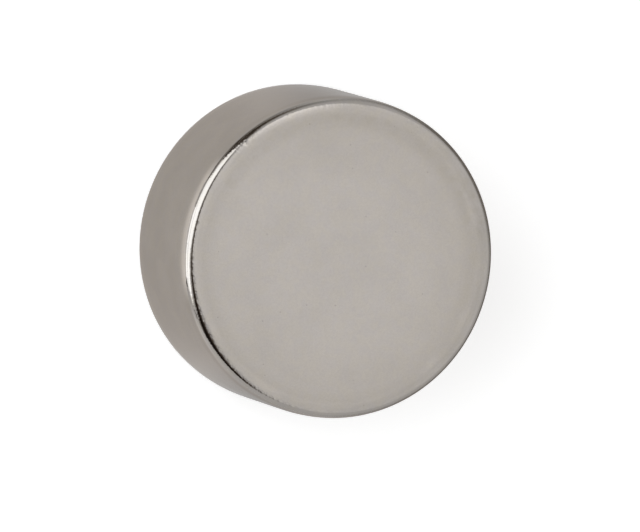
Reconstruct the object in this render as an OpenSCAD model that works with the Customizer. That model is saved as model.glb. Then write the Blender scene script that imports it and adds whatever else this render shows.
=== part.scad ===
/* [Magnet] */
// Diameter across the rim
magnet_d = 20; // [12:0.5:40]
// Height from one pole face to the other
magnet_h = 10; // [5:0.5:20]

/* [Tumbled edges] */
// Radius of the tight round at each edge
edge_r = 0.4; // [0.2:0.05:0.8]
// Width of the gentle roll-off that leads into each side of the round
rolloff_w = 1; // [0.4:0.1:1.4]
// Slope of the roll-off where it meets the round, in degrees
rolloff_slope = 5; // [2:0.5:8]

/* [Hidden] */
$fn = 96;
// Segments of the roll-off's whole circle, of which only a few degrees are used
rolloff_fn = 720;
// The round stands this little proud, so that it always crosses the roll-offs and never stops short of them
weld = 0.000005;

rim_r = magnet_d / 2;
half_h = magnet_h / 2;
// The roll-off is an arc: its radius, and how far it falls below the surface that it leaves
rolloff_r = rolloff_w / sin(rolloff_slope);
rolloff_drop = rolloff_r * (1 - cos(rolloff_slope));
// Distances in from the sharp corner, along the pole face and down the rim alike:
// to the round's centre, and to where the flat face or the straight rim begins
round_inset = rolloff_drop + edge_r * cos(rolloff_slope);
land_inset = round_inset - edge_r * sin(rolloff_slope) + rolloff_w;

// The roll-off beside the pole face, with the metal under it. The sharp corner is at the origin.
// Its far side runs through the round's centre and the point where the two arcs touch.
module rolloff() {
    beyond_round = 2 * edge_r * [sin(rolloff_slope), cos(rolloff_slope)] - [round_inset, round_inset];
    intersection() {
        translate([-land_inset, 0])
            translate([0, -rolloff_r])
                circle(rolloff_r, $fn = rolloff_fn);
        polygon([
            [-land_inset, -land_inset],
            [-round_inset, -round_inset],
            beyond_round,
            [-land_inset, beyond_round.y]
        ]);
    }
}

// One quarter of the section, from mid height up to a pole face:
// flat, roll-off, round, roll-off, straight rim
module quarter_section() {
    translate([rim_r, half_h]) {
        polygon([
            [-rim_r, -half_h],
            [0, -half_h],
            [0, -land_inset],
            [-land_inset, -land_inset],
            [-land_inset, 0],
            [-rim_r, 0]
        ]);
        translate([-round_inset, -round_inset])
            circle(edge_r + weld);
        rolloff();
        mirror([1, -1])
            rolloff();
    }
}

// The whole magnet, standing on its lower pole face
module disc_magnet() {
    color([0.70, 0.68, 0.65])
        translate([0, 0, half_h])
            rotate_extrude()
                for (upside_down = [0, 1])
                    mirror([0, upside_down])
                        quarter_section();
}

disc_magnet();
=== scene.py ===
import math
import random
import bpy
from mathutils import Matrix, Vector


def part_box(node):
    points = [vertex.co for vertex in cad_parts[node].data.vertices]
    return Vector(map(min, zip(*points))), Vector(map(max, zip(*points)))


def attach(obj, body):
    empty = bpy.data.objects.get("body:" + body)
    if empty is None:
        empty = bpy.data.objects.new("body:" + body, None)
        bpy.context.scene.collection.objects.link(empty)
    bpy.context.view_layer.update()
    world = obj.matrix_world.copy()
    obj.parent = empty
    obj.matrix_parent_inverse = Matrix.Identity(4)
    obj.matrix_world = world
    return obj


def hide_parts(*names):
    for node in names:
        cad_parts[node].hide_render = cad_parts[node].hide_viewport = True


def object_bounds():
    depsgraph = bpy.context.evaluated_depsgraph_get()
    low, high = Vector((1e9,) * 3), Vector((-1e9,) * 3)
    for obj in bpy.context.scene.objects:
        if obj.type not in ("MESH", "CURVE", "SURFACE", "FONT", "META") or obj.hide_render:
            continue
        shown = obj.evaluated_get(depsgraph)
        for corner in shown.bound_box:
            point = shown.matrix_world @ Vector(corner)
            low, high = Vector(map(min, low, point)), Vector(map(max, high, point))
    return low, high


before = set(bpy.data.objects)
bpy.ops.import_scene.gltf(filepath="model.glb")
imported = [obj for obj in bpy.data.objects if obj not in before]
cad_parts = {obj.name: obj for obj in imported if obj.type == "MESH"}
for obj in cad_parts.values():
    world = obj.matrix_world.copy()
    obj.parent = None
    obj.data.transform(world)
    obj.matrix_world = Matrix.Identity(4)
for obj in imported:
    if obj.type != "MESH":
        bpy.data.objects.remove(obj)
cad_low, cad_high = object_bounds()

from types import SimpleNamespace

import bmesh
import bpy
from mathutils import Matrix, Vector, noise

# A disc magnet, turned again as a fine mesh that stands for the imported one, and the white studio round it

MM = 0.001
NODE = "disc_magnet"

# The tumbled edge: a tight round between two gentle roll-offs
EDGE_R = 0.4 * MM
ROLLOFF_W = 1.0 * MM
ROLLOFF_SLOPE = math.radians(5)

# How finely the magnet is turned
SEGMENTS = 1024
FACE_RINGS = 4
ROLLOFF_STEPS = 6
ROUND_STEPS = 28
RIM_STEPS = 2

# Small nicks from tumbling, pressed into each edge
NICKS_PER_EDGE = 34
NICK_RADIUS = (0.10 * MM, 0.26 * MM)
NICK_DEPTH = (0.001 * MM, 0.004 * MM)
NICK_SEED = 20
# Nicks at the upper edge in the places where they show:
# degrees round from +X, tilt of the surface there in degrees, reach and depth in mm
SEEN_NICKS = (
    (130.0, 14, 0.18, 0.008),
    (127.5, 3, 0.22, 0.002),
    (165.0, 18, 0.16, 0.005),
    (31.0, 2, 0.26, 0.004),
    (22.0, 3, 0.24, 0.006),
    (17.0, 3, 0.20, 0.004),
    (357.0, 4, 0.18, 0.004),
)
# How far the round wanders inward between nicks, and over what length
WANDER = 0.0022 * MM
WANDER_LENGTH = 0.55 * MM

# Nickel, as linear colours: in the middle of a face, at its dullest where wear and painted shade are
# strongest, and polished on the tight round
NICKEL = (0.458, 0.428, 0.402)
NICKEL_WORN_AND_SHADED = (0.394, 0.364, 0.331)
NICKEL_POLISHED = (0.478, 0.448, 0.422)
# How much of its shine it keeps at a glancing angle
GLANCING = (0.76, 0.72, 0.69)
# What the mottling does to its colour
MOTTLE_TINT = (1.005, 1.0, 0.972)
# Roughness of the satin, from cloud to cloud, and of the polish
SATIN = (0.13, 0.17)
POLISH = 0.05

# Sizes of the marks in the finish
HAZE_SIZE = 2.4 * MM
MOTTLE_SIZE = 0.7 * MM
KNOCK_SIZE = 0.2 * MM
GRAIN_SIZE = 0.12 * MM
PRICK_SPACING = 0.95 * MM
# Streaks drawn out round the axis: how far in radians, and how wide
STREAK_TURN = 1 / 7
STREAK_WIDTH = 1.5 * MM / 7
# How much each mark changes the metal's brightness
HAZE_TONE = 0.032
GRAIN_TONE = 0.022
MOTTLE_TONE = 0.006
STREAK_TONE = 0.018
SMUDGE_TONE = 0.055
# Painted shade on the roll-off at the right, from its lightest to its darkest
PAINTED_SHADE_TONE = (0.03, 0.09)
PRICK_TONE = 0.22
# Where a face has painted light, lighter than elsewhere, and where the roll-off has a painted shade, in
# degrees round from +X
PAINTED_LIGHT_AZIMUTH = 160
PAINTED_SHADE_AZIMUTH = 19
# Height of the relief in the surface
GRAIN_HEIGHT = 0.0003 * MM
MOTTLE_HEIGHT = 0.0012 * MM
KNOCK_HEIGHT = 0.007 * MM

# Where a face's polish begins, outward from the axis
POLISH_START = (8.85 * MM, 9.45 * MM)
# The line where it begins is this uneven, and off centre by this share of X
RAGGEDNESS = 0.8 * MM
OFF_CENTRE = 0.025

# Light levels in the studio, where white is 1. A pair is the light where a patch begins and ends.
WALLS = 0.65
NEAR_GLOW = 0.78
HORIZON = 0.46
FAR_WALL = 0.21
OVERHEAD = 0.8
OVERHEAD_BRIGHT = 1.035
OVERHEAD_STREAK = 1.36
SOFTBOX = 2.05
SOFTBOX_EDGE = 0.7 * SOFTBOX
SOFTBOX_FOOT = 0.82
FLAG = 0.035
FLAG_EDGE = 0.085
LEAF = (0.08, 0.012)
LEAF_TAIL = 0.26
# The leaf-shaped flag's middle and the two directions in it, as X and Y of a direction in the sky
LEAF_MIDDLE = (-0.25, -0.37)
LEAF_ALONG = (-0.66, -0.75)
LEAF_ACROSS = (0.75, -0.66)
# Degrees by which the softbox and its flag lean over, for each degree up
LEAN = 0.34
# Light levels of the cards on the table
TABLE = 0.64
TABLE_FOOT = 0.76
TABLE_BRIGHT_STRIP = 0.9
TABLE_FAR = (0.24, 0.36)
TABLE_FARTHEST = (0.16, 0.34)
TABLE_FAR_FOOT = 0.57
TABLE_DIM_FOOT = 0.5
TABLE_FLAG = 0.15
TABLE_FLAG_EDGE = 0.018
TABLE_LIP = 1.18
TABLE_GAP = 0.27
TABLE_LIGHTER_GAP = 0.42
TABLE_SOFTBOX_EDGE = 0.72
TABLE_DARK_LINE = 0.04
# Where the foot of the table ends, in mm from the axis
FOOT_END = (13.6, 15.5)
# Tints of the light where it is dimmest, and in the softbox
BROWN = (1.15, 0.84, 0.57)
BLUISH = (1.0, 1.035, 1.06)

# The floor: its size, its own colour, and the light that it gives off where it is seen
FLOOR_SIZE = 4.0
FLOOR_COLOUR = (0.9, 0.9, 0.9, 1.0)
FLOOR_GLOW = 0.5
# Gap between the floor and the lower face
FLOOR_GAP = 0.02 * MM
# The sheet that the table's cards are painted on
CARDS_INNER_R = 9.7 * MM
CARDS_OUTER_R = 800 * MM
CARDS_CORNERS = 96

# The camera's direction from the magnet: off the vertical, and round from +X
CAMERA_TILT = math.radians(19.3)
CAMERA_AZIMUTH = math.radians(161.8)
CAMERA_DISTANCE = 1.0
CAMERA_LENS = 906.8
# The point that it is aimed at, right of and below the magnet's centre
AIM_RIGHT = 0.308 * MM
AIM_UP = -0.955 * MM


# ---------------------------------------------------------------- shape

def quarter_profile(rim_r, half_h):
    """(radius, height, tilt of the normal) from the middle of a face, out over the edge, to mid height."""
    rolloff_r = ROLLOFF_W / math.sin(ROLLOFF_SLOPE)
    drop = rolloff_r * (1 - math.cos(ROLLOFF_SLOPE))
    inset = drop + EDGE_R * math.cos(ROLLOFF_SLOPE)
    land = inset - EDGE_R * math.sin(ROLLOFF_SLOPE) + ROLLOFF_W
    face_r = rim_r - land
    rim_top = half_h - land

    points = [(face_r * i / FACE_RINGS, half_h, 0.0) for i in range(FACE_RINGS)]
    for i in range(ROLLOFF_STEPS):
        a = ROLLOFF_SLOPE * i / ROLLOFF_STEPS
        points.append((face_r + rolloff_r * math.sin(a), half_h - rolloff_r * (1 - math.cos(a)), a))
    span = math.pi / 2 - 2 * ROLLOFF_SLOPE
    for i in range(ROUND_STEPS):
        a = ROLLOFF_SLOPE + span * i / ROUND_STEPS
        points.append((rim_r - inset + EDGE_R * math.sin(a), half_h - inset + EDGE_R * math.cos(a), a))
    for i in range(ROLLOFF_STEPS):
        a = ROLLOFF_SLOPE * (1 - i / ROLLOFF_STEPS)
        radius = rim_r - rolloff_r * (1 - math.cos(a))
        points.append((radius, rim_top + rolloff_r * math.sin(a), math.pi / 2 - a))
    points += [(rim_r, rim_top * (1 - i / RIM_STEPS), math.pi / 2) for i in range(RIM_STEPS + 1)]
    return points


def turned(angle, radius, height):
    return Vector((radius * math.cos(angle), radius * math.sin(angle), height))


def wander(point, tilt):
    """How far the surface lies inside the true form: up to WANDER on the round, hardly at all beyond it."""
    share = math.sin(2 * tilt) ** 2
    return WANDER * share * (0.5 + 0.5 * noise.noise(point / WANDER_LENGTH))


def press_nick(edge, side, angle, level, reach, depth):
    """Dents the edge, +1 above or -1 below, at an angle round it and at one of its levels."""
    _, (radius, height, tilt) = edge[level]
    middle = turned(angle, radius, height)
    inward = -turned(angle, math.sin(tilt), side * math.cos(tilt))
    first = math.floor((angle - reach / radius) / (2 * math.pi) * SEGMENTS)
    last = math.ceil((angle + reach / radius) / (2 * math.pi) * SEGMENTS)
    for ring, _ in edge:
        for i in range(first, last + 1):
            vertex = ring[i % SEGMENTS]
            near = 1 - (vertex.co - middle).length_squared / reach ** 2
            if near > 0:
                vertex.co += inward * depth * near ** 2


def is_on_edge(point, side):
    """Whether a point of the profile is on a roll-off or the round, +1 above or -1 below."""
    _, height, tilt = point
    return 0 < tilt < math.pi / 2 and height * side > 0


def press_nicks(rings, profile, side):
    """Dents one edge at places drawn by a seeded generator, and the upper one also where it shows."""
    rng = random.Random(NICK_SEED + side)
    edge = [(ring, point) for ring, point in zip(rings, profile) if is_on_edge(point, side)]
    for _ in range(NICKS_PER_EDGE):
        angle = rng.uniform(0, 2 * math.pi)
        level = rng.randrange(len(edge))
        press_nick(edge, side, angle, level, rng.uniform(*NICK_RADIUS), rng.uniform(*NICK_DEPTH))
    if side > 0:
        for angle, tilt, reach, depth in SEEN_NICKS:
            tilts = [abs(point[2] - math.radians(tilt)) for _, point in edge]
            press_nick(edge, side, math.radians(angle), tilts.index(min(tilts)), reach * MM, depth * MM)


def turned_rings(mesh, profile):
    """One ring of points round the axis for each point of the profile."""
    rings = []
    for radius, height, tilt in profile:
        ring = []
        for i in range(SEGMENTS):
            angle = 2 * math.pi * i / SEGMENTS
            point = turned(angle, radius, height)
            normal = turned(angle, math.sin(tilt), math.copysign(math.cos(tilt), height))
            ring.append(mesh.verts.new(point - normal * wander(point, tilt)))
        rings.append(ring)
    return rings


def linked_object(name, mesh):
    """A new object in the scene, made from a bmesh, which is freed."""
    data = bpy.data.meshes.new(name)
    mesh.to_mesh(data)
    mesh.free()
    made = bpy.data.objects.new(name, data)
    bpy.context.scene.collection.objects.link(made)
    return made


def turned_magnet():
    """The magnet turned in one piece, closed at the middle of each pole face."""
    low, high = (Vector(corner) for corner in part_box(NODE))
    centre = (low + high) / 2
    upper = quarter_profile((high.x - low.x) / 2, (high.z - low.z) / 2)
    profile = upper + [(r, -h, tilt) for r, h, tilt in reversed(upper[:-1])]

    mesh = bmesh.new()
    top = mesh.verts.new((0, 0, profile[0][1]))
    bottom = mesh.verts.new((0, 0, profile[-1][1]))
    profile = profile[1:-1]
    rings = turned_rings(mesh, profile)
    press_nicks(rings, profile, 1)
    press_nicks(rings, profile, -1)
    for i in range(SEGMENTS):
        j = (i + 1) % SEGMENTS
        mesh.faces.new((top, rings[0][i], rings[0][j]))
        mesh.faces.new((bottom, rings[-1][j], rings[-1][i]))
        for above, below in zip(rings, rings[1:]):
            mesh.faces.new((above[i], below[i], below[j], above[j]))
    bmesh.ops.translate(mesh, verts=mesh.verts, vec=centre)
    magnet = linked_object("turned_magnet", mesh)
    magnet.data.polygons.foreach_set("use_smooth", [True] * len(magnet.data.polygons))
    return magnet


# ---------------------------------------------------------------- node trees

class Graph:
    """A short way to write a node tree. It is called g below."""

    def __init__(self, owner):
        owner.use_nodes = True
        self.tree = owner.node_tree
        self.tree.nodes.clear()

    def node(self, kind, inputs=(), **settings):
        made = self.tree.nodes.new(kind)
        for name, value in settings.items():
            setattr(made, name, value)
        for name, value in dict(inputs).items():
            self.put(made.inputs[name], value)
        return made

    def put(self, socket, value):
        if isinstance(value, bpy.types.NodeSocket):
            self.tree.links.new(value, socket)
        else:
            socket.default_value = value

    def split(self, vector):
        """Its X, Y and Z."""
        return self.node("ShaderNodeSeparateXYZ", {"Vector": vector}).outputs

    def math(self, operation, *values):
        made = self.node("ShaderNodeMath", operation=operation)
        for socket, value in zip(made.inputs, values):
            self.put(socket, value)
        return made.outputs[0]

    def sum(self, first, *others):
        for other in others:
            first = self.math("ADD", first, other)
        return first

    def product(self, first, *others):
        for other in others:
            first = self.math("MULTIPLY", first, other)
        return first

    def length(self, x, y):
        return self.math("SQRT", self.sum(self.product(x, x), self.product(y, y)))

    def smooth(self, value, start, end, before=0.0, after=1.0):
        """Goes smoothly from before to after as value goes from start to end."""
        made = self.node("ShaderNodeMapRange", interpolation_type="SMOOTHSTEP", inputs={
            "Value": value, "From Min": start, "From Max": end, "To Min": before, "To Max": after})
        return made.outputs["Result"]

    def window(self, value, start, end, soft_start, soft_end):
        """1 from start to end, with each side softened over its own width."""
        rise = self.smooth(value, start - soft_start / 2, start + soft_start / 2)
        fall = self.smooth(value, end - soft_end / 2, end + soft_end / 2, 1.0, 0.0)
        return self.product(rise, fall)

    def blend(self, share, a, b):
        """a where share is 0, and b where it is 1."""
        step = self.math("SUBTRACT", b, a)
        return self.math("MULTIPLY_ADD", step, share, a)

    def lay(self, level, light, *shares):
        """Lays a patch of light over the level, where all its shares are 1."""
        return self.blend(self.product(*shares), level, light)

    def blend_colour(self, share, a, b):
        made = self.node("ShaderNodeMix", data_type="RGBA")
        self.put(made.inputs["Factor"], share)
        for name, value in (("A", a), ("B", b)):
            socket = next(s for s in made.inputs if s.name == name and s.type == "RGBA")
            self.put(socket, value if isinstance(value, bpy.types.NodeSocket) else (*value, 1.0))
        return next(s for s in made.outputs if s.type == "RGBA")

    def noise(self, place, size, detail):
        """Noise with blobs of about this size, from 0 to 1."""
        made = self.node("ShaderNodeTexNoise", {"Vector": place, "Scale": 1 / size, "Detail": detail})
        return made.outputs["Fac"]

    def vector_math(self, operation, vector, inputs):
        made = self.node("ShaderNodeVectorMath", {0: vector, **inputs}, operation=operation)
        return made.outputs["Vector"]

    def offset(self, place, distance):
        return self.vector_math("ADD", place, {1: (distance, distance, distance)})

    def tinted(self, colour, tint):
        return self.vector_math("MULTIPLY", colour, {1: tint})

    def scaled(self, colour, amount):
        return self.vector_math("SCALE", colour, {"Scale": amount})

    def finish(self, kind, socket, shader):
        """Ends the tree in an output node."""
        self.put(self.node(kind).inputs[socket], shader)


def distance_along(g, x, y, direction):
    """How far a level place lies in a level direction."""
    return g.sum(g.product(x, direction[0]), g.product(y, direction[1]))


def degrees_from(g, x, y, azimuth):
    """Degrees between a level direction and an azimuth, which is given in degrees round from +X."""
    a = math.radians(azimuth)
    cosine = g.math("DIVIDE", distance_along(g, x, y, (math.cos(a), math.sin(a))), g.length(x, y))
    return g.math("DEGREES", g.math("ARCCOSINE", cosine))


# ---------------------------------------------------------------- finish

def magnet_surface(g):
    """What is known at a point of the magnet: its place, how it faces, and the noises of the finish."""
    coordinates = g.node("ShaderNodeTexCoord").outputs
    at = SimpleNamespace(place=coordinates["Object"])
    at.x, at.y, _ = g.split(at.place)
    at.radius = g.length(at.x, at.y)
    # How much the surface faces up or down, and how much it faces outward
    up = g.math("ABSOLUTE", g.split(coordinates["Normal"])["Z"])
    out = g.math("SQRT", g.math("SUBTRACT", 1.0, g.product(up, up)))
    # 1 on a pole face and its roll-off
    at.on_face = g.smooth(up, 0.9, 0.97)
    # 0 on the faces and the straight rim, and more the further the surface turns from them
    at.bend = g.math("MINIMUM", up, out)

    at.haze = g.noise(at.place, HAZE_SIZE, 4.0)
    at.mottle = g.noise(g.offset(at.place, 0.1), MOTTLE_SIZE, 4.0)
    at.knocks = g.noise(g.offset(at.place, 0.2), KNOCK_SIZE, 2.0)
    at.grain = g.noise(at.place, GRAIN_SIZE, 3.0)
    # Noise drawn out round the axis, for the streaks that tumbling leaves beside the edge
    swept = g.node("ShaderNodeCombineXYZ", {
        "X": g.math("DIVIDE", at.x, at.radius),
        "Y": g.math("DIVIDE", at.y, at.radius),
        "Z": g.math("DIVIDE", at.radius, STREAK_WIDTH / STREAK_TURN)})
    at.streaks = g.noise(swept.outputs["Vector"], STREAK_TURN, 4.0)

    # Distance from the axis, made uneven for the line where the polish begins
    skewed = g.math("MULTIPLY_ADD", at.x, OFF_CENTRE, at.radius)
    at.ragged = g.math("MULTIPLY_ADD", g.math("SUBTRACT", at.haze, 0.5), RAGGEDNESS, skewed)
    polished_face = g.product(at.on_face, g.smooth(at.ragged, *POLISH_START))
    at.polished = g.math("MAXIMUM", g.smooth(at.bend, 0.02, 0.06), polished_face)
    return at


def wear_and_painted_light(g, at):
    """How dull the nickel is, partly wear and partly painted shade: darker towards a face's edge, and on
    all of the rim as at that edge. Painted light makes a face lighter on one side.
    """
    worn_and_shaded_towards_edge = g.sum(
        g.smooth(at.radius, 4.5 * MM, 8.2 * MM, 0.0, 0.285),
        g.smooth(at.ragged, 7.7 * MM, 8.8 * MM, 0.0, 0.43))
    # Painted light: a face is lighter, less dull, on its side towards -X, and in its outer ring towards -Y
    from_painted_light = degrees_from(g, at.x, at.y, PAINTED_LIGHT_AZIMUTH)
    painted_light_aside = g.product(g.smooth(at.radius, 4.0 * MM, 7.5 * MM), g.smooth(from_painted_light, 10, 75, -0.24, 0.12))
    ring = g.window(at.radius, 8.1 * MM, 9.2 * MM, 0.6 * MM, 0.4 * MM)
    lower = g.product(ring, g.smooth(at.y, -8 * MM, -1 * MM, -0.2, 0.0))
    worn_and_painted = g.math("MULTIPLY_ADD", g.sum(painted_light_aside, lower), at.on_face, worn_and_shaded_towards_edge)
    # The polish of a face takes a quarter of this off again
    return g.product(worn_and_painted, g.math("SUBTRACT", 1.0, g.product(at.on_face, at.polished, 0.25)))


def plating_colour(g, at):
    # The nickel darkens where worn and where shade is painted, and lightens where light is painted
    colour = g.blend_colour(wear_and_painted_light(g, at), NICKEL, NICKEL_WORN_AND_SHADED)
    colour = g.blend_colour(g.smooth(at.bend, 0.05, 0.1), colour, NICKEL_POLISHED)
    return g.blend_colour(g.smooth(at.mottle, 0.38, 0.62), colour, g.tinted(colour, MOTTLE_TINT))


def smudges_and_painted_shade(g, at):
    """How much smudges, and a painted shade on the roll-off, darken a face."""
    # Smudges where the polish begins, mostly towards +Y
    ring = g.product(
        at.on_face, g.smooth(at.radius, 7.9 * MM, 8.7 * MM), g.math("SUBTRACT", 1.0, at.polished),
        g.smooth(at.y, -4 * MM, 3 * MM, 0.25, 1.0))
    blotches = g.sum(at.haze, g.product(at.mottle, 0.5))
    smudges = g.product(ring, g.smooth(blotches, 0.66, 0.86, 0.0, SMUDGE_TONE))
    # Painted shade: a dark patch on the roll-off, at the right in the main view, darker in its mottled
    # parts
    painted_shade_patch = g.product(
        g.smooth(degrees_from(g, at.x, at.y, PAINTED_SHADE_AZIMUTH), 8, 20, 1.0, 0.0),
        g.smooth(at.radius, 8.8 * MM, 9.15 * MM), at.on_face)
    return g.math("MULTIPLY_ADD", painted_shade_patch, g.smooth(at.mottle, 0.3, 0.6, *PAINTED_SHADE_TONE), smudges)


def pin_pricks(g, at):
    """1 in tiny pin pricks, at about half of the places where one could be."""
    cells = g.node("ShaderNodeTexVoronoi", {"Vector": at.place, "Scale": 1 / PRICK_SPACING}).outputs
    chance = g.node("ShaderNodeSeparateColor", {"Color": cells["Color"]}).outputs[0]
    return g.product(g.smooth(cells["Distance"], 0.03, 0.055, 1.0, 0.0), g.smooth(chance, 0.5, 0.6))


def plating_tone(g, at):
    """How bright the metal is beside its plain colour."""
    clouds = g.sum(
        g.smooth(at.haze, 0.3, 0.7, 1 - HAZE_TONE, 1 + HAZE_TONE),
        g.smooth(at.grain, 0.25, 0.75, -GRAIN_TONE, GRAIN_TONE),
        g.smooth(at.mottle, 0.35, 0.65, -MOTTLE_TONE, MOTTLE_TONE))
    streaks = g.product(at.on_face, at.polished, g.smooth(at.streaks, 0.3, 0.7, -STREAK_TONE, STREAK_TONE))
    tone = g.sum(g.math("SUBTRACT", clouds, smudges_and_painted_shade(g, at)), streaks)
    return g.math("SUBTRACT", tone, g.product(pin_pricks(g, at), PRICK_TONE))


def plating_relief(g, at):
    """A fine grain all over, a faint mottling of the polish, and knocks in the tight round."""
    height = g.sum(g.product(at.grain, GRAIN_HEIGHT), g.product(at.mottle, at.polished, MOTTLE_HEIGHT))
    knocks = g.product(g.math("SUBTRACT", at.knocks, 0.5), g.smooth(at.bend, 0.05, 0.13))
    height = g.math("MULTIPLY_ADD", knocks, KNOCK_HEIGHT, height)
    return g.node("ShaderNodeBump", {"Height": height, "Strength": 1.0, "Distance": 1.0}).outputs["Normal"]


def nickel_plating():
    """Satin on the faces and the rim, with a shine where tumbling has polished the edge."""
    material = bpy.data.materials.new("nickel_plating")
    g = Graph(material)
    at = magnet_surface(g)
    shader = g.node("ShaderNodeBsdfPrincipled", {
        "Base Color": g.scaled(plating_colour(g, at), plating_tone(g, at)),
        "Metallic": 1.0,
        "Roughness": g.blend(at.polished, g.smooth(at.haze, 0.3, 0.7, *SATIN), POLISH),
        "Specular Tint": (*GLANCING, 1.0),
        "Normal": plating_relief(g, at),
    })
    g.finish("ShaderNodeOutputMaterial", "Surface", shader.outputs["BSDF"])
    return material


# ---------------------------------------------------------------- studio
#
# The camera stands on the side of -X, called the near side. In the main view +X is at the right
# and +Y at the top. Angles round the magnet go from -X towards -Y, and distances on the table are in mm.

def degrees_round(g, x, y):
    """Degrees round the magnet from -X towards -Y."""
    return g.math("DEGREES", g.math("ARCTAN2", g.product(y, -1.0), g.product(x, -1.0)))


def light_colour(g, level):
    """White, browner the dimmer the light is, and a little blue in the softbox."""
    brown = g.blend_colour(g.smooth(level, -0.2, 0.45, 1.0, 0.0), (1.0, 1.0, 1.0), BROWN)
    return g.blend_colour(g.smooth(level, 1.4, 1.9), brown, BLUISH)


def near_glow(g, around):
    """The stretch of the near side that is brighter low down."""
    return g.window(around, 30, 62, 14, 24)


def pale_floor(z):
    """A white floor, lit so that the magnet's shadow shows on it."""
    bpy.ops.mesh.primitive_plane_add(size=FLOOR_SIZE, location=(0, 0, z))
    floor = bpy.context.object
    floor.name = "floor"
    material = bpy.data.materials.new("floor")
    g = Graph(material)
    rays = g.node("ShaderNodeLightPath").outputs
    seen = g.math("MAXIMUM", rays["Is Glossy Ray"], rays["Is Transmission Ray"])
    seen = g.math("MAXIMUM", seen, rays["Is Camera Ray"])
    both = g.node("ShaderNodeAddShader")
    g.put(both.inputs[0], g.node("ShaderNodeBsdfDiffuse", {"Color": FLOOR_COLOUR}).outputs["BSDF"])
    glow = g.node("ShaderNodeEmission", {"Strength": g.product(seen, FLOOR_GLOW)})
    g.put(both.inputs[1], glow.outputs["Emission"])
    g.finish("ShaderNodeOutputMaterial", "Surface", both.outputs["Shader"])
    floor.data.materials.append(material)


def table_place(g):
    """What is known at a point of the table: its distance and its angles from the magnet."""
    x, y, _ = g.split(g.node("ShaderNodeTexCoord").outputs["Object"])
    at = SimpleNamespace(r=g.math("DIVIDE", g.length(x, y), MM))
    at.around = degrees_round(g, x, y)
    at.from_far = degrees_from(g, x, y, 0)
    at.foot = g.smooth(at.r, *FOOT_END, 1.0, 0.0)
    return at


def table_near_light(g, at):
    """The foot beside the magnet, and what lies beyond it, brighter on the near side."""
    level = g.blend(at.foot, TABLE, TABLE_FOOT)
    level = g.lay(level, NEAR_GLOW, near_glow(g, at.around), g.smooth(at.r, *FOOT_END))
    strip = g.window(at.around, 24, 50, 10, 16)
    return g.lay(level, TABLE_BRIGHT_STRIP, strip, g.window(at.r, 15.0, 32, 1.8, 20))


def table_far_light(g, at, level):
    """The far side, dim beyond the foot and lighter again far out, and the foot on the way round to it."""
    beyond_foot = g.smooth(at.r, 18, 36)
    away = g.smooth(g.math("ABSOLUTE", at.around), 96, 135)
    level = g.lay(level, g.smooth(at.r, 60, 110, *TABLE_FAR), away, beyond_foot)
    farthest = g.smooth(at.from_far, 26, 56, 1.0, 0.0)
    level = g.lay(level, g.smooth(at.r, 50, 105, *TABLE_FARTHEST), farthest, beyond_foot)
    level = g.lay(level, TABLE_FAR_FOOT, at.foot, g.smooth(at.around, -74, -100))
    level = g.lay(level, TABLE_FAR_FOOT, at.foot, g.smooth(at.around, 48, 88))
    return g.lay(level, TABLE_DIM_FOOT, at.foot, g.window(at.around, 66, 100, 36, 40))


def table_flag(g, at, level):
    """The flag on the +Y side of the softbox, and the dark strip between them."""
    level = g.lay(level, TABLE_FLAG, g.window(at.around, -80, -50, 50, 8), g.smooth(at.r, 13, 38))
    return g.lay(level, TABLE_FLAG_EDGE, g.window(at.around, -58, -47, 9, 3), g.smooth(at.r, 14, 30))


def softbox_foot(g, at, level):
    """A bright lip before the softbox, a gap behind it, and the softbox's dim edge on the +Y side."""
    lip = g.window(at.r, 13.5, 15.4, 1.2, 0.6)
    level = g.lay(level, TABLE_LIP, g.window(at.around, -41, 16, 16, 16), lip)
    gap = g.window(at.r, 15.6, 44, 0.8, 34)
    level = g.lay(level, TABLE_GAP, g.window(at.around, -54, -33, 6, 3), gap)
    lighter_gap = g.window(at.r, 15.2, 30, 1.0, 20)
    level = g.lay(level, TABLE_LIGHTER_GAP, g.window(at.around, -34, -21, 3, 3), lighter_gap)
    return g.lay(level, TABLE_SOFTBOX_EDGE, g.window(at.around, -47, -32, 3, 3), g.smooth(at.r, 30, 120))


def table_softbox(g, at, level):
    """The softbox itself, low down, with a dark line along its end on the -Y side."""
    # On its +Y side it comes up slowly with distance, and on the rest of it quickly
    past_start = g.math("SUBTRACT", at.around, g.smooth(at.r, 16, 60, -33, -37.5))
    slow_start = g.product(g.smooth(past_start, -1.5, 1.5), g.smooth(at.r, 13, 64))
    quick_start = g.product(g.smooth(at.around, -22.5, -19.5), g.smooth(at.r, 15.0, 28.5))
    # Its end swings round further out, and fades over a wider stretch there
    end = g.sum(g.smooth(at.r, 22, 70, 12.6, 23), g.smooth(at.r, 19, 15.5, 0.0, 1.6))
    past_end = g.math("SUBTRACT", at.around, end)
    fade = g.smooth(past_end, g.smooth(at.r, 22, 60, -2.6, -9), g.smooth(at.r, 22, 60, -0.8, -1), 1.0, 0.0)
    line = g.window(past_end, -1.6, 1.6, 1.6, 1.6)
    level = g.lay(level, TABLE_DARK_LINE, line, g.window(at.r, 15.5, 25, 0.8, 9))
    return g.lay(level, SOFTBOX, g.math("MAXIMUM", slow_start, quick_start), fade)


def card_light():
    """What is painted on the table's cards."""
    material = bpy.data.materials.new("table_cards")
    g = Graph(material)
    at = table_place(g)
    level = table_near_light(g, at)
    level = table_far_light(g, at, level)
    level = table_flag(g, at, level)
    level = softbox_foot(g, at, level)
    level = table_softbox(g, at, level)
    glow = g.node("ShaderNodeEmission", {"Color": light_colour(g, level), "Strength": level})
    g.finish("ShaderNodeOutputMaterial", "Surface", glow.outputs["Emission"])
    return material


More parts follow.
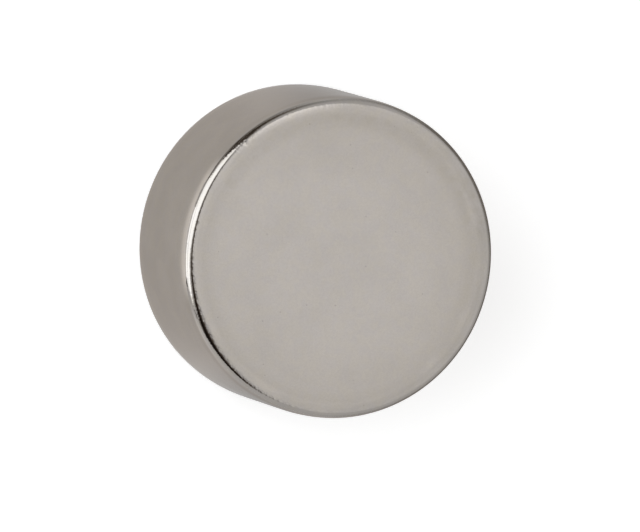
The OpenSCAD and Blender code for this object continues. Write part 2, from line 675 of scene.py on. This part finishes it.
def table_cards(z):
    """Cards laid round the magnet, seen only in its metal."""
    mesh = bmesh.new()
    circles = []
    for r in (CARDS_INNER_R, CARDS_OUTER_R):
        angles = [2 * math.pi * i / CARDS_CORNERS for i in range(CARDS_CORNERS)]
        circles.append([mesh.verts.new(turned(angle, r, z)) for angle in angles])
    inner, outer = circles
    for i in range(CARDS_CORNERS):
        j = (i + 1) % CARDS_CORNERS
        mesh.faces.new((inner[i], outer[i], outer[j], inner[j]))
    cards = linked_object("table_cards", mesh)
    cards.data.materials.append(card_light())
    cards.visible_camera = False
    cards.visible_diffuse = False
    cards.visible_shadow = False
    cards.visible_transmission = False


def sky_direction(g):
    """What is known of a direction in the sky: its angles round the magnet and down from straight above."""
    at = SimpleNamespace(direction=g.node("ShaderNodeTexCoord").outputs["Generated"])
    at.x, at.y, z = g.split(at.direction)
    at.around = degrees_round(g, at.x, at.y)
    at.down = g.math("DEGREES", g.math("ARCCOSINE", z))
    return at


def overhead(g, at, azimuth, polar, full, none):
    """1 in a round patch of the sky, fading between two angles from its middle, in degrees."""
    a, p = math.radians(azimuth), math.radians(polar)
    near = g.node("ShaderNodeVectorMath", operation="DOT_PRODUCT")
    g.put(near.inputs[0], at.direction)
    near.inputs[1].default_value = (math.sin(p) * math.cos(a), math.sin(p) * math.sin(a), math.cos(p))
    return g.smooth(g.math("DEGREES", g.math("ARCCOSINE", near.outputs["Value"])), full, none, 1.0, 0.0)


def room_light(g, at):
    """The walls and the light overhead, before the softbox and the flags."""
    # Brighter low down on the near side, and darker towards the horizon on the far side
    level = g.lay(WALLS, NEAR_GLOW, near_glow(g, at.around), g.smooth(at.down, 52, 80))
    on_far_side = g.smooth(g.math("ABSOLUTE", at.around), 84, 120)
    level = g.lay(level, HORIZON, on_far_side, g.smooth(at.down, 56, 92))
    far_wall = g.smooth(degrees_from(g, at.x, at.y, 21), 10, 34, 1.0, 0.0)
    level = g.lay(level, FAR_WALL, far_wall, g.smooth(at.down, 48, 76))
    # Light overhead, the brighter patch that the upper face mirrors in the main view, and a streak
    level = g.lay(level, OVERHEAD, overhead(g, at, -8, 30, 9, 24))
    level = g.lay(level, OVERHEAD_BRIGHT, overhead(g, at, -16, 15.5, 5.5, 16))
    streak = g.smooth(degrees_from(g, at.x, at.y, 46), 30, 50, 1.0, 0.0)
    return g.lay(level, OVERHEAD_STREAK, streak, g.window(at.down, 11.5, 18, 3, 5))


def leaf_flag(g, at, level):
    """A leaf-shaped flag over the near side towards -Y, and its narrow tail down to the horizon."""
    x_in = g.math("SUBTRACT", at.x, LEAF_MIDDLE[0])
    y_in = g.math("SUBTRACT", at.y, LEAF_MIDDLE[1])
    along = distance_along(g, x_in, y_in, LEAF_ALONG)
    across = distance_along(g, x_in, y_in, LEAF_ACROSS)
    # Its two ends, its two sides and a corner. The second side is soft at first, and sharper further along.
    sharper = g.math("MULTIPLY_ADD", along, 2.6, 1.26)
    leaf = g.product(
        g.smooth(g.math("MULTIPLY_ADD", across, -0.35, along), -0.53, -0.41),
        g.smooth(along, 0.42, 0.56, 1.0, 0.0),
        g.smooth(across, 0.25, 0.36, 1.0, 0.0),
        g.smooth(g.product(g.sum(across, 0.235), sharper), -0.21, 0.10),
        g.smooth(g.math("MULTIPLY_ADD", across, 0.9, along), 0.32, 0.42, 1.0, 0.0))
    level = g.lay(level, g.smooth(along, -0.3, 0.0, *LEAF), leaf)
    # The tail swings round towards -Y the higher it goes
    above_80 = g.math("MAXIMUM", g.math("SUBTRACT", 80, at.down), 0.0)
    tail = g.window(g.math("SUBTRACT", at.around, g.product(above_80, 0.4)), 27.8, 32.2, 4, 4)
    return g.lay(level, LEAF_TAIL, tail, g.smooth(at.down, 50, 62), g.smooth(at.down, 88, 99, 1.0, 0.0))


def softbox_and_flag(g, at, level):
    """The softbox on the near side, and the flag towards +Y from it, which reaches higher beside it."""
    lean = g.math("MULTIPLY_ADD", g.math("SUBTRACT", at.down, 60), -LEAN, at.around)
    level = g.lay(level, FLAG, g.window(lean, -98, -56, 60, 5), g.smooth(at.down, 30, 66))
    level = g.lay(level, FLAG_EDGE, g.window(lean, -69, -57, 7, 4), g.smooth(at.down, 28, 40))
    # The softbox's top is level at first, and slopes down towards -Y
    slope = g.product(g.math("MAXIMUM", g.sum(at.around, 12.0), 0.0), 0.9)
    softbox = g.product(
        g.smooth(lean, -58, -53.5),
        g.smooth(at.around, 18, 29, 1.0, 0.0),
        g.smooth(g.math("SUBTRACT", at.down, slope), 18, 36))
    level = g.lay(level, g.smooth(lean, -60, -37, SOFTBOX_EDGE, SOFTBOX), softbox)
    # A dimmer band at its foot, along the horizon
    foot = g.product(g.smooth(at.around, -50, -8), g.window(at.down, 85.5, 91.5, 1.5, 1))
    return g.lay(level, SOFTBOX_FOOT, softbox, foot)


def studio_world():
    """Grey surroundings with light overhead, and a softbox between two flags on the near side."""
    world = bpy.data.worlds.new("studio")
    bpy.context.scene.world = world
    g = Graph(world)
    at = sky_direction(g)
    level = room_light(g, at)
    level = leaf_flag(g, at, level)
    level = softbox_and_flag(g, at, level)
    # The background itself is white
    level = g.lay(level, 1.0, g.node("ShaderNodeLightPath").outputs["Is Camera Ray"])
    back = g.node("ShaderNodeBackground", {"Color": light_colour(g, level), "Strength": level})
    g.finish("ShaderNodeOutputWorld", "Surface", back.outputs["Background"])


# ---------------------------------------------------------------- camera

def camera_axes(back):
    """The camera's right, up and back, with +Y towards the top of the picture."""
    right = Vector((0, 1, 0)).cross(back).normalized()
    return right, back.cross(right), back


def add_camera(centre):
    back = turned(CAMERA_AZIMUTH, math.sin(CAMERA_TILT), math.cos(CAMERA_TILT))
    location = centre + back * CAMERA_DISTANCE
    right, up, _ = camera_axes(back)
    aim = centre + right * AIM_RIGHT + up * AIM_UP
    axes = camera_axes((location - aim).normalized())
    data = bpy.data.cameras.new("camera")
    data.lens = CAMERA_LENS
    data.clip_start = 0.1
    data.clip_end = 10
    camera = bpy.data.objects.new("camera", data)
    camera.matrix_world = Matrix.Translation(location) @ Matrix(axes).transposed().to_4x4()
    bpy.context.scene.collection.objects.link(camera)
    bpy.context.scene.camera = camera


magnet = turned_magnet()
magnet.data.materials.append(nickel_plating())
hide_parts(NODE)
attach(magnet, "root")

add_camera((cad_low + cad_high) / 2)
pale_floor(cad_low.z - FLOOR_GAP)
table_cards(cad_low.z)
studio_world()
bpy.context.scene.view_settings.view_transform = "Standard"
